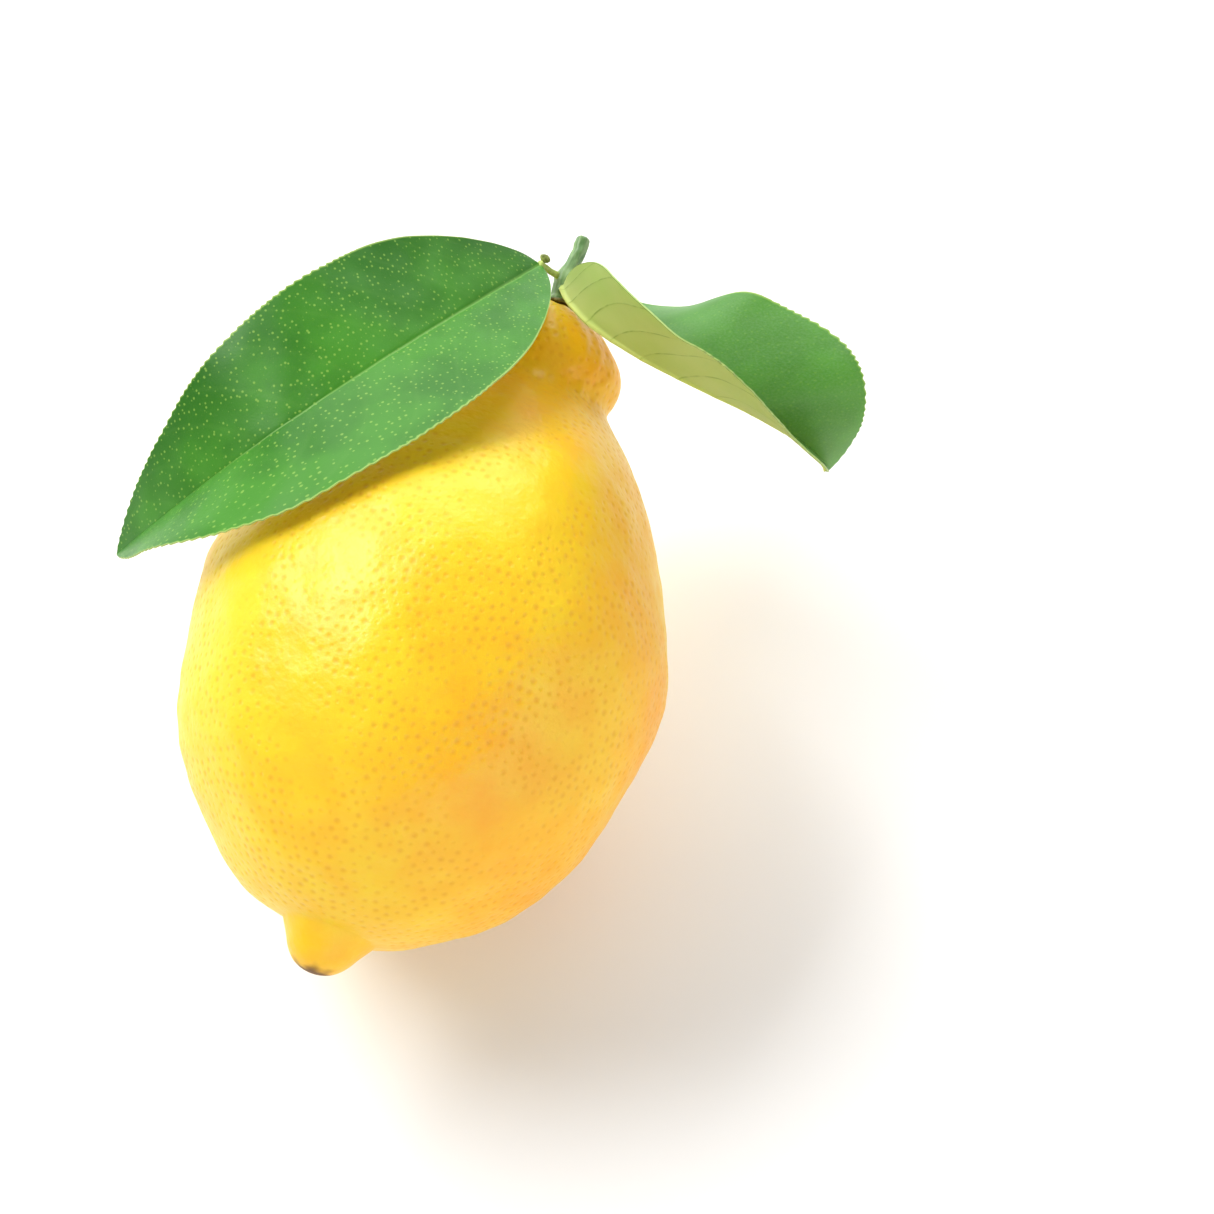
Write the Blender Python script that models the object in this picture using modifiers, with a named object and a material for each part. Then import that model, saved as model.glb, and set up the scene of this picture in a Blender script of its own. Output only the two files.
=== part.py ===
"""A picked lemon with its calyx, its stem and two leaves, lying on its side.

Metres, +Z up. The origin is the middle of the small flat spot that the fruit rests on. The fruit's long
axis lies in the YZ plane: the nipple points to -Y, and the stem end points to +Y and is a little raised.

The fruit's own frame has the same X, "along" from the nipple's tip to the stem end, and "rise" at right
angles to both. Leaves and stem are set out in that frame from the stem end.
"""

import math

import bmesh
import bpy
import numpy as np

# ---- The fruit ------------------------------------------------------------------------------------
FRUIT_LENGTH = 0.101          # nipple tip to stem end
FRUIT_RADIUS = 0.0329         # at its widest
WIDEST_AT = 0.048             # from the nipple tip
AXIS_TILT = math.radians(6)   # how far the stem end is raised
FLAT_DEPTH = 0.001            # how much of the belly the resting spot takes off

NIPPLE_LENGTH = 0.006         # how far the nipple stands out of the body
NIPPLE_RADIUS = 0.0042        # just behind its rounded tip
NIPPLE_FLARE = 0.0036         # how much wider it is at its foot
NIPPLE_ROUNDING = 0.003       # length of the rounded tip
NIPPLE_SIDESTEP = -0.0004     # the nipple's tip lies this far to +X
NIPPLE_SPREAD = 0.014         # over this length from the tip
NIPPLE_FULLNESS = 1.74        # of the body, on the nipple side: low is pointed, high is full

NECK_LENGTH = 0.0108          # how far the neck stands out of the body
NECK_HALF_LENGTH = 0.0095     # from its widest ring to the stem end
NECK_RADIUS = 0.0109
NECK_SIDESTEP = 0.0019        # the neck's middle lies this far to +X
NECK_SPREAD = 0.0065          # over this length along the axis
NECK_FULLNESS = 2.1
SHOULDER_FULLNESS = 1.20      # of the body, on the stem side
BELLY_SOFTNESS = 0.006        # length over which the two sides of the belly melt into each other
NECK_FURROWS = 5
FURROW_DEPTH = 0.0004

NIPPLE_BLEND = 2.2            # low is a soft fillet, high is a sharp crease
NECK_BLEND = 7.0

# ---- What grows on the stem end -------------------------------------------------------------------
JOIN_GAP = 0.0003             # between pieces that touch

CALYX_RADIUS = 0.0034
CALYX_THICKNESS = 0.0010
CALYX_LOBES = 5
LOBE_DEPTH = 0.0006

STEM_LENGTH = 0.0098
STEM_RADIUS = 0.0010          # at its cut end
STEM_NODE_RADIUS = 0.0014     # where the leaves grow from it, and below
STEM_TAPER = 0.0030           # length over which it thins above the leaves
# The stem's bends: share of its length, and how far it then stands to +X and up.
STEM_BENDS = ((0.0, 0.0, 0.0), (0.25, -0.0004, 0.0), (0.5, -0.0002, 0.0003),
              (0.7, 0.0004, 0.0006), (1.0, 0.0003, 0.0007))

PETIOLE_RADIUS = 0.00050
LEFT_PETIOLE_AT = 0.0046      # from the stem end, along the stem
RIGHT_PETIOLE_AT = 0.0032
BUD_RADIUS = 0.00055
BUD_STRETCH = 1.6
BUD_ADVANCE = 0.0003          # from the petiole's leaf end on to the bud's middle

# ---- The leaves -----------------------------------------------------------------------------------
LEAF_THICKNESS = 0.0005
LEAF_END_WIDTH = 0.0004       # half the width that is left at the base and at the tip
LEAF_FULLNESS = 0.8           # low is broad towards both ends, 1 is lens-shaped
PEEL_CLEARANCE = 0.0020       # the least a leaf stands off the peel
FLOOR_CLEARANCE = 0.0020
CLEARANCE_SOFTNESS = 0.0003
STATIONS = (0.10, 0.45, 0.85)  # shares of the midrib where a half's direction is given

# widest_at: share of the midrib's length where the blade is widest.
# midrib: four handles of one curve from base to tip, as (to +X, beyond the stem end, rise).
# inner_half, outer_half: which way each half runs from the midrib, at the three stations.
LEFT_LEAF = {
    "half_width": 0.0163,
    "widest_at": 0.44,
    "midrib": ((-0.0035, 0.0045, 0.0035), (-0.0125, -0.0220, 0.0290),
               (-0.0240, -0.0410, 0.0370), (-0.0460, -0.0540, 0.0015)),
    "inner_half": ((0.85, -0.32, 0.41), (0.89, -0.27, 0.38), (-0.10, -0.93, 0.35)),
    "outer_half": ((-0.84, 0.51, 0.17), (-0.81, 0.58, 0.03), (-0.68, 0.73, 0.02)),
}
RIGHT_LEAF = {
    "half_width": 0.0180,
    "widest_at": 0.46,
    "midrib": ((0.0010, 0.0016, 0.0046), (0.0110, -0.0145, 0.0235),
               (0.0420, -0.0120, 0.0200), (0.0435, -0.0095, -0.0060)),
    "inner_half": ((0.79, 0.49, -0.36), (0.45, 0.88, -0.18), (0.66, 0.54, 0.53)),
    "outer_half": ((0.03, 0.36, 0.93), (0.16, -0.09, 0.98), (0.34, -0.50, 0.80)),
}

# ---- How finely the pieces are divided ------------------------------------------------------------
FRUIT_AROUND, FRUIT_ALONG = 56, 44
CALYX_AROUND, CALYX_ACROSS = 30, 8
LEAF_ALONG, LEAF_ACROSS = 32, 10
BUD_AROUND, BUD_ACROSS = 12, 8


# ---- Shapes as formulas ---------------------------------------------------------------------------
def ease(low, high, value):
    """0 below low, 1 above high, and a smooth rise between."""
    share = np.clip((value - low) / (high - low), 0, 1)
    return share * share * (3 - 2 * share)


def join(first, second, sharpness):
    """A smooth maximum of two radii."""
    return (first**sharpness + second**sharpness) ** (1 / sharpness)


def bulge(distance, half_length, fullness):
    """1 in the middle, falling to 0 at half_length on a rounded curve."""
    return np.sqrt(np.clip(1 - np.clip(np.abs(distance) / half_length, 0, 1) ** fullness, 0, 1))


def soften(distance):
    """The distance, but rounded off near 0 so that a curve of it has no crease there."""
    return np.sqrt(distance**2 + BELLY_SOFTNESS**2) - BELLY_SOFTNESS


def peel_radius(along):
    """The fruit's radius at a place along its axis: body, nipple and neck melted together."""
    along = np.asarray(along, float)
    nipple_side = along < WIDEST_AT
    half_length = np.where(nipple_side, WIDEST_AT - NIPPLE_LENGTH, FRUIT_LENGTH - NECK_LENGTH - WIDEST_AT)
    fullness = np.where(nipple_side, NIPPLE_FULLNESS, SHOULDER_FULLNESS)
    body = FRUIT_RADIUS * bulge(soften(along - WIDEST_AT), soften(half_length), fullness)
    foot = ease(NIPPLE_ROUNDING / 3, 3 * NIPPLE_ROUNDING, along)
    tip = bulge(np.minimum(along - NIPPLE_ROUNDING, 0), NIPPLE_ROUNDING, 2)
    fading = 1 - ease(WIDEST_AT / 2, WIDEST_AT, along)
    nipple = (NIPPLE_RADIUS + NIPPLE_FLARE * foot) * tip * fading
    neck = NECK_RADIUS * bulge(along - neck_middle(), NECK_HALF_LENGTH, NECK_FULLNESS)
    return join(join(body, nipple, NIPPLE_BLEND), neck, NECK_BLEND)


def neck_middle():
    return FRUIT_LENGTH - NECK_HALF_LENGTH


def near_neck(along):
    return np.exp(-(((np.asarray(along, float) - neck_middle()) / NECK_SPREAD) ** 2))


def axis_sidestep(along):
    """How far the middle of the fruit stands to +X: its neck and its nipple lean a little."""
    nipple_share = 1 - ease(0, NIPPLE_SPREAD, along)
    return NECK_SIDESTEP * near_neck(along) + NIPPLE_SIDESTEP * nipple_share


def furrows(along, angle):
    return -FURROW_DEPTH * near_neck(along) * (1 - np.cos(NECK_FURROWS * angle)) / 2


def resting_place():
    """(along, height): the point of the axis above the flat spot's middle, and the axis height there."""
    along = np.linspace(0, FRUIT_LENGTH, 4001)
    radius = peel_radius(along)
    depth = along * math.sin(AXIS_TILT) - radius * math.cos(AXIS_TILT)
    lowest = depth.argmin()
    middle = along[lowest] + radius[lowest] * math.tan(AXIS_TILT)
    return middle, middle * math.sin(AXIS_TILT) - depth[lowest] - FLAT_DEPTH


AXIS_ORIGIN, AXIS_HEIGHT = resting_place()


def to_world(points):
    """(x, along, rise) in the fruit's frame to world."""
    points = np.asarray(points, float)
    x, along, rise = points[..., 0], points[..., 1] - AXIS_ORIGIN, points[..., 2]
    y = along * math.cos(AXIS_TILT) - rise * math.sin(AXIS_TILT)
    z = along * math.sin(AXIS_TILT) + rise * math.cos(AXIS_TILT) + AXIS_HEIGHT
    return np.stack([x, y, z], axis=-1)


def from_stem_end(points):
    """(x, beyond the stem end, rise) to the fruit's frame."""
    return np.asarray(points, float) + (0.0, FRUIT_LENGTH, 0.0)


def soft_floor(value, least):
    """The value, lifted smoothly where it would come under least."""
    return (value + least + np.sqrt((value - least) ** 2 + (2 * CLEARANCE_SOFTNESS) ** 2)) / 2


def keep_clear(points):
    """Moves points in the fruit's frame out, so that they stand off the peel by the clearance."""
    x, along, rise = points[..., 0], points[..., 1], points[..., 2]
    middle = axis_sidestep(along)
    distance = np.hypot(x - middle, rise)
    past_end = np.clip((along - FRUIT_LENGTH) / PEEL_CLEARANCE, 0, 1)
    least = (peel_radius(np.clip(along, 0, FRUIT_LENGTH)) + PEEL_CLEARANCE) * (1 - past_end)
    factor = np.where(past_end < 1, soft_floor(distance, least) / distance, 1)
    return np.stack([middle + (x - middle) * factor, along, rise * factor], axis=-1)


# ---- Mesh and curve helpers -----------------------------------------------------------------------
def clear_scene():
    for thing in list(bpy.data.objects):
        bpy.data.objects.remove(thing, do_unlink=True)


def make_collection(name):
    collection = bpy.data.collections.new(name)
    bpy.context.scene.collection.children.link(collection)
    return collection


def make_material(name, colour, roughness):
    material = bpy.data.materials.new(name)
    material.use_nodes = True
    shader = material.node_tree.nodes["Principled BSDF"]
    shader.inputs["Base Color"].default_value = (*colour, 1)
    shader.inputs["Roughness"].default_value = roughness
    shader.inputs["Metallic"].default_value = 0
    material.diffuse_color = (*colour, 1)
    return material


def add_object(name, data, collection, material):
    thing = bpy.data.objects.new(name, data)
    thing.data.materials.append(material)
    collection.objects.link(thing)
    return thing


def mesh_from(form, name):
    mesh = bpy.data.meshes.new(name)
    form.to_mesh(mesh)
    form.free()
    mesh.shade_smooth()
    return mesh


def coordinates(form):
    return np.array([vertex.co[:] for vertex in form.verts])


def move_to(form, points):
    for vertex, point in zip(form.verts, points):
        vertex.co = point


def ball_form(around, across):
    """A ball of radius 1 with its poles on the fruit's axis, and its (x, along, rise)."""
    form = bmesh.new()
    bmesh.ops.create_uvsphere(form, u_segments=around, v_segments=across, radius=1)
    ball = coordinates(form)
    return form, np.stack([ball[:, 0], ball[:, 2], -ball[:, 1]], axis=-1)


def tube(name, points, radii, collection, material):
    """A round rod along points, with a closed cap at each end."""
    curve = bpy.data.curves.new(name, "CURVE")
    curve.dimensions = "3D"
    curve.bevel_depth = 1
    curve.bevel_resolution = 2
    curve.use_fill_caps = True
    spline = curve.splines.new("POLY")
    spline.points.add(len(points) - 1)
    for control, place, radius in zip(spline.points, points, radii):
        control.co = (*place, 1)
        control.radius = radius
    return add_object(name, curve, collection, material)


# ---- The pieces -----------------------------------------------------------------------------------
def make_fruit(collection):
    form, ball = ball_form(FRUIT_AROUND, FRUIT_ALONG)
    along = FRUIT_LENGTH * (1 + ball[:, 1]) / 2
    angle = np.arctan2(ball[:, 2], ball[:, 0])
    radius = peel_radius(along) + furrows(along, angle)
    radius[np.abs(ball[:, 1]) > 1 - 1e-6] = 0
    x = axis_sidestep(along) + radius * np.cos(angle)
    move_to(form, to_world(np.stack([x, along, radius * np.sin(angle)], axis=-1)))
    everything = form.verts[:] + form.edges[:] + form.faces[:]
    bmesh.ops.bisect_plane(form, geom=everything, plane_co=(0, 0, 0), plane_no=(0, 0, -1), clear_outer=True)
    rim = [edge for edge in form.edges if edge.is_boundary]
    bmesh.ops.edgeloop_fill(form, edges=rim)
    bmesh.ops.recalc_face_normals(form, faces=form.faces[:])
    mesh = mesh_from(form, "fruit")
    return add_object("fruit", mesh, collection, make_material("peel", (0.93, 0.60, 0.03), 0.38))


def end_drop(distance):
    """How far the neck's rounded end has fallen away at a distance from its middle."""
    inside = 1 - np.clip(distance / NECK_RADIUS, 0, 1) ** 2
    return NECK_HALF_LENGTH * (1 - inside ** (1 / NECK_FULLNESS))


def make_calyx(collection):
    form, ball = ball_form(CALYX_AROUND, CALYX_ACROSS)
    angle = np.arctan2(ball[:, 2], ball[:, 0])
    reach = CALYX_RADIUS + LOBE_DEPTH * np.cos(CALYX_LOBES * angle)
    distance = reach * np.hypot(ball[:, 0], ball[:, 2])
    height = JOIN_GAP + CALYX_THICKNESS * (1 + ball[:, 1]) / 2 - end_drop(distance)
    x = axis_sidestep(FRUIT_LENGTH) + distance * np.cos(angle)
    move_to(form, to_world(from_stem_end(np.stack([x, height, distance * np.sin(angle)], axis=-1))))
    mesh = mesh_from(form, "calyx")
    return add_object("calyx", mesh, collection, make_material("calyx_skin", (0.16, 0.14, 0.04), 0.6))


def stem_foot():
    return CALYX_THICKNESS + 2 * JOIN_GAP


def stem_point(beyond):
    """The middle of the stem at a distance beyond the stem end, in the fruit's frame."""
    shares, sideways, upwards = np.array(STEM_BENDS).T
    share = (np.asarray(beyond, float) - stem_foot()) / STEM_LENGTH
    x = axis_sidestep(FRUIT_LENGTH) + np.interp(share, shares, sideways)
    return from_stem_end(np.stack([x, np.asarray(beyond, float), np.interp(share, shares, upwards)], axis=-1))


def make_stem(collection):
    beyond = stem_foot() + STEM_LENGTH * np.linspace(0, 1, 13)
    points = to_world(stem_point(beyond))
    thinning = ease(LEFT_PETIOLE_AT, LEFT_PETIOLE_AT + STEM_TAPER, beyond)
    radii = STEM_NODE_RADIUS + (STEM_RADIUS - STEM_NODE_RADIUS) * thinning
    return tube("stem", points, radii, collection, make_material("stem_bark", (0.10, 0.20, 0.07), 0.5))


def petiole_line(beyond, leaf):
    """From just off the stem's skin to just short of the leaf's base, in the fruit's frame."""
    start = stem_point(beyond)
    end = from_stem_end(leaf["midrib"][0])
    run = end - start
    run /= np.linalg.norm(run)
    off_stem = STEM_NODE_RADIUS + PETIOLE_RADIUS + JOIN_GAP
    return start + run * off_stem, end - run * (LEAF_END_WIDTH + JOIN_GAP)


def make_petiole(name, beyond, leaf, collection):
    start, end = petiole_line(beyond, leaf)
    points = to_world(start + (end - start) * np.linspace(0, 1, 5)[:, None])
    material = make_material(name + "_skin", (0.28, 0.38, 0.06), 0.45)
    return tube(name, points, [PETIOLE_RADIUS] * len(points), collection, material)


def make_bud(collection):
    """A small scaly bud on the outer side of the left petiole, by the leaf's base."""
    start, end = petiole_line(LEFT_PETIOLE_AT, LEFT_LEAF)
    run = (end - start) / np.linalg.norm(end - start)
    off_petiole = PETIOLE_RADIUS + JOIN_GAP + BUD_RADIUS
    outwards = np.array([0.0, 1.0, 0.0]) - run * run[1]
    middle = end + run * BUD_ADVANCE + outwards / np.linalg.norm(outwards) * off_petiole
    form, ball = ball_form(BUD_AROUND, BUD_ACROSS)
    stretched = ball + np.outer(ball @ run, run) * (BUD_STRETCH - 1)
    move_to(form, to_world(middle + stretched * BUD_RADIUS))
    mesh = mesh_from(form, "left_bud")
    return add_object("left_bud", mesh, collection, make_material("bud_scale", (0.20, 0.13, 0.06), 0.6))


def along_handles(handles, share):
    """The point at a share of a curve with four handles."""
    rest = 1 - share
    weights = np.stack([rest**3, 3 * rest**2 * share, 3 * rest * share**2, share**3], axis=-1)
    return weights @ np.asarray(handles, float)


def even_shares(handles, wanted):
    """The curve's shares at which its length is divided as wanted."""
    share = np.linspace(0, 1, 401)
    steps = np.linalg.norm(np.diff(along_handles(handles, share), axis=0), axis=1)
    length = np.concatenate([[0], np.cumsum(steps)])
    return np.interp(wanted * length[-1], length, share)


def blade_direction(directions, share):
    """The unit direction of one half of the blade, eased from station to station."""
    unit = np.array([np.array(one) / np.linalg.norm(one) for one in directions])
    first = ease(STATIONS[0], STATIONS[1], share)[:, None]
    second = ease(STATIONS[1], STATIONS[2], share)[:, None]
    mixed = unit[0] + (unit[1] - unit[0]) * first + (unit[2] - unit[1]) * second
    return mixed / np.linalg.norm(mixed, axis=1)[:, None]


def blade_half_width(leaf, share):
    """half_width * sin(pi * share^p)^fullness, where p puts the widest place at widest_at."""
    power = math.log(0.5) / math.log(leaf["widest_at"])
    rounded = np.sin(np.pi * np.clip(share, 0, 1) ** power).clip(0) ** LEAF_FULLNESS
    return np.maximum(leaf["half_width"] * rounded, LEAF_END_WIDTH)


def blade_points(leaf, share, across):
    """Points of the blade: share runs from base to tip, across from -1 (outer) to 1 (inner)."""
    midrib = along_handles(from_stem_end(leaf["midrib"]), even_shares(leaf["midrib"], share))
    inner = blade_direction(leaf["inner_half"], share)
    outer = blade_direction(leaf["outer_half"], share)
    direction = np.where(across[:, None] > 0, inner, outer)
    reach = blade_half_width(leaf, share) * np.abs(across)
    points = to_world(keep_clear(midrib + direction * reach[:, None]))
    points[:, 2] = soft_floor(points[:, 2], FLOOR_CLEARANCE)
    return points


def make_leaf(name, leaf, collection):
    form = bmesh.new()
    bmesh.ops.create_grid(form, x_segments=LEAF_ALONG, y_segments=LEAF_ACROSS, size=1)
    flat = coordinates(form)
    move_to(form, blade_points(leaf, (1 + flat[:, 0]) / 2, flat[:, 1]))
    mesh = mesh_from(form, name)
    thing = add_object(name, mesh, collection, make_material(name + "_green", (0.04, 0.19, 0.04), 0.35))
    wall = thing.modifiers.new("thickness", "SOLIDIFY")
    wall.thickness = LEAF_THICKNESS
    wall.offset = 0
    return thing


def main():
    clear_scene()
    lemon = make_collection("lemon")
    make_fruit(lemon)
    make_calyx(lemon)
    make_stem(lemon)
    make_petiole("left_petiole", LEFT_PETIOLE_AT, LEFT_LEAF, lemon)
    make_bud(lemon)
    make_leaf("left_leaf", LEFT_LEAF, lemon)
    make_petiole("right_petiole", RIGHT_PETIOLE_AT, RIGHT_LEAF, lemon)
    make_leaf("right_leaf", RIGHT_LEAF, lemon)


main()
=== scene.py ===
# %% [markdown]
# # A picked lemon with a stem and two leaves
#
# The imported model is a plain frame: the fruit, the calyx, the stem, two petioles, a bud and two leaves,
# all of one rigid body. This lesson gives each of them its fine surface and its finish. Every shape is a
# function of two parameters, worked out as whole arrays, so a reader can follow the formula and change it.

# %% Load the frame
import math

import bpy
import numpy as np
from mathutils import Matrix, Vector


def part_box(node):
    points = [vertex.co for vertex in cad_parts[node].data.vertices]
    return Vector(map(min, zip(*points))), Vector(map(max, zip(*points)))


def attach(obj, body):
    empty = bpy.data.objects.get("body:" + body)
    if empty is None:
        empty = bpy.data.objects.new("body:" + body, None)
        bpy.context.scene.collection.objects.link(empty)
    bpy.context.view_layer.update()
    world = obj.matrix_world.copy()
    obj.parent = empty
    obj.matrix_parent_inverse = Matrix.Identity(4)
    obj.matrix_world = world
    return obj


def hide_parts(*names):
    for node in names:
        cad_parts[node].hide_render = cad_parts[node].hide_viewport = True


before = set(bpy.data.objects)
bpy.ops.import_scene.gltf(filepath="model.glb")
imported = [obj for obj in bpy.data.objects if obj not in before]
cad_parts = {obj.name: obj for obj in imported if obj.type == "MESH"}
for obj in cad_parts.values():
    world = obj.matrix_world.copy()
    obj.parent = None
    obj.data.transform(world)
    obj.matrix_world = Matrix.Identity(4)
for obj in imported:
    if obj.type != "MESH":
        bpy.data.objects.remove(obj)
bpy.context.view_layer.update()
print("nodes in the frame:", ", ".join(sorted(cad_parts)))

# %% [markdown]
# ## Sizes
#
# The fine surfaces follow the same formulas as the solids that they stand for, so they repeat the
# solids' sizes. The fruit's own frame has X, "along" from the nipple's tip to the stem end, and "rise" at
# right angles to both. Repeating the sizes keeps each formula readable; reading them back out of the
# solids' points would also work, but it would give a cloud of points and not a shape.

# %% Sizes of the fruit, in metres
FRUIT_LENGTH = 0.101
FRUIT_RADIUS = 0.0329
WIDEST_AT = 0.048
AXIS_TILT = math.radians(6)
NIPPLE_LENGTH = 0.006
NIPPLE_RADIUS = 0.0042
NIPPLE_FLARE = 0.0036
NIPPLE_ROUNDING = 0.003
NIPPLE_SIDESTEP = -0.0004
NIPPLE_SPREAD = 0.014
NIPPLE_FULLNESS = 1.74
NECK_LENGTH = 0.0108
NECK_HALF_LENGTH = 0.0095
NECK_RADIUS = 0.0109
NECK_SIDESTEP = 0.0019
NECK_SPREAD = 0.0065
NECK_FULLNESS = 2.1
SHOULDER_FULLNESS = 1.20
BELLY_SOFTNESS = 0.006
NECK_FURROWS = 5
FURROW_DEPTH = 0.0004
NIPPLE_BLEND = 2.2
NECK_BLEND = 7.0

# %% Sizes of what grows on the stem end
CALYX_RADIUS = 0.0034
CALYX_THICKNESS = 0.0010
CALYX_LOBES = 5
LOBE_DEPTH = 0.0006
JOIN_GAP = 0.0003
STEM_LENGTH = 0.0098
STEM_RADIUS = 0.0010
STEM_NODE_RADIUS = 0.0014
STEM_TAPER = 0.0030
STEM_BENDS = ((0.0, 0.0, 0.0), (0.25, -0.0004, 0.0), (0.5, -0.0002, 0.0003),
              (0.7, 0.0004, 0.0006), (1.0, 0.0003, 0.0007))
PETIOLE_RADIUS = 0.00050
LEFT_PETIOLE_AT = 0.0046
RIGHT_PETIOLE_AT = 0.0032
BUD_RADIUS = 0.00055
BUD_STRETCH = 1.6
BUD_ADVANCE = 0.0003

# %% Sizes of the leaves: four handles of each midrib, and each half's direction at three stations
LEAF_FULLNESS = 0.8
PEEL_CLEARANCE = 0.0020
FLOOR_CLEARANCE = 0.0020
CLEARANCE_SOFTNESS = 0.0003
STATIONS = (0.10, 0.45, 0.85)
LEFT_LEAF = {
    "half_width": 0.0163,
    "widest_at": 0.44,
    "toothed_from": 0.30,
    "seed": 31,
    "midrib": ((-0.0035, 0.0045, 0.0035), (-0.0125, -0.0220, 0.0290),
               (-0.0240, -0.0410, 0.0370), (-0.0460, -0.0540, 0.0015)),
    "inner_half": ((0.85, -0.32, 0.41), (0.89, -0.27, 0.38), (-0.10, -0.93, 0.35)),
    "outer_half": ((-0.84, 0.51, 0.17), (-0.81, 0.58, 0.03), (-0.68, 0.73, 0.02)),
}
RIGHT_LEAF = {
    "half_width": 0.0180,
    "widest_at": 0.46,
    "toothed_from": 0.42,
    "seed": 41,
    "midrib": ((0.0010, 0.0016, 0.0046), (0.0110, -0.0145, 0.0235),
               (0.0420, -0.0120, 0.0200), (0.0435, -0.0095, -0.0060)),
    "inner_half": ((0.79, 0.49, -0.36), (0.45, 0.88, -0.18), (0.66, 0.54, 0.53)),
    "outer_half": ((0.03, 0.36, 0.93), (0.16, -0.09, 0.98), (0.34, -0.50, 0.80)),
}

# %% [markdown]
# ## The fruit's profile
#
# A lemon is an oval body with a nipple at one end and a short neck at the other. A lathe profile drawn by
# hand would do, but a formula can be asked for the radius at any place, which the pores, the leaves and
# the calyx all need. So the body, the nipple and the neck are three rounded curves, and a smooth maximum
# melts them together: a low sharpness leaves a soft fillet, a high one leaves a crease.

# %% The profile as a formula
def ease(low, high, value):
    """0 below low, 1 above high, and a smooth rise between."""
    share = np.clip((value - low) / (high - low), 0, 1)
    return share * share * (3 - 2 * share)


def join(first, second, sharpness):
    """A smooth maximum of two radii: the root of the sum of their powers."""
    return (first**sharpness + second**sharpness) ** (1 / sharpness)


def bulge(distance, half_length, fullness):
    """1 in the middle, falling to 0 at half_length on a rounded curve."""
    return np.sqrt(np.clip(1 - np.clip(np.abs(distance) / half_length, 0, 1) ** fullness, 0, 1))


def near_neck(along):
    """1 at the neck's widest ring, fading out over the neck's spread on a bell curve."""
    return np.exp(-(((along - FRUIT_LENGTH + NECK_HALF_LENGTH) / NECK_SPREAD) ** 2))


def axis_sidestep(along):
    """How far the fruit's middle stands to +X: the neck and the nipple lean a little."""
    return NECK_SIDESTEP * near_neck(along) + NIPPLE_SIDESTEP * (1 - ease(0, NIPPLE_SPREAD, along))


def soften(distance):
    """The distance, but rounded off near 0 so that a curve of it has no crease there."""
    return np.sqrt(distance**2 + BELLY_SOFTNESS**2) - BELLY_SOFTNESS


def peel_radius(along):
    """The radius at a place along the axis: the smooth maximum of body, nipple and neck."""
    nipple_side = along < WIDEST_AT
    half_length = np.where(nipple_side, WIDEST_AT - NIPPLE_LENGTH, FRUIT_LENGTH - NECK_LENGTH - WIDEST_AT)
    fullness = np.where(nipple_side, NIPPLE_FULLNESS, SHOULDER_FULLNESS)
    body = FRUIT_RADIUS * bulge(soften(along - WIDEST_AT), soften(half_length), fullness)
    foot = ease(NIPPLE_ROUNDING / 3, 3 * NIPPLE_ROUNDING, along)
    tip = bulge(np.minimum(along - NIPPLE_ROUNDING, 0), NIPPLE_ROUNDING, 2)
    nipple = (NIPPLE_RADIUS + NIPPLE_FLARE * foot) * tip * (1 - ease(WIDEST_AT / 2, WIDEST_AT, along))
    neck_middle = FRUIT_LENGTH - NECK_HALF_LENGTH
    neck = NECK_RADIUS * bulge(along - neck_middle, NECK_HALF_LENGTH, NECK_FULLNESS)
    return join(join(body, nipple, NIPPLE_BLEND), neck, NECK_BLEND)


print(f"radius at the widest: {1000 * float(peel_radius(np.array(WIDEST_AT))):.1f} mm")


# %% A smooth unevenness for every piece
def unit(vectors):
    """Each vector, divided by its own length; the tiny floor only guards a zero."""
    return vectors / np.maximum(np.linalg.norm(vectors, axis=-1, keepdims=True), 1e-30)


def wavy(points, wavelength, seed, waves=24):
    """About -2 to 2: a sum of sine waves in random directions, with wavelengths near the one given."""
    dice = np.random.default_rng(seed)
    direction = unit(dice.normal(size=(waves, 3)))
    rate = 2 * np.pi / wavelength * dice.uniform(0.7, 1.4, waves)
    phase = dice.uniform(0, 2 * np.pi, waves)
    return np.sin(points @ (direction * rate[:, None]).T + phase).sum(axis=-1) * math.sqrt(2 / waves)


# %% [markdown]
# ## The skin before its pores
#
# Below the smooth profile the real rind is uneven: shallow folds run down the neck, a groove rings its
# foot, and the whole body has soft lumps. They could be a texture, but a bump never changes the outline,
# so they are moved points: each is a small height over the smooth skin, and the heights are added up.

# %% The skin as a function of along and angle
NECK_WRINKLES = 11
WRINKLE_DEPTH = 0.00013
WRINKLE_WANDER = 0.25
WRINKLES_FROM = FRUIT_LENGTH - 0.026
WRINKLES_FULL = FRUIT_LENGTH - 0.010
LUMP_HEIGHT, LUMP_SIZE = 0.00022, 0.022
RIPPLE_HEIGHT, RIPPLE_SIZE = 0.00005, 0.0055
SMOOTH_TIP = 0.012


def smooth_skin(along, angle):
    """(x, along, rise): a circle of the profile's radius about the axis, less the neck's furrows."""
    furrow = FURROW_DEPTH * near_neck(along) * (1 - np.cos(NECK_FURROWS * angle)) / 2
    radius = peel_radius(along) - furrow
    x = axis_sidestep(along) + radius * np.cos(angle)
    return np.stack([x, along, radius * np.sin(angle)], axis=-1)


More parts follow.
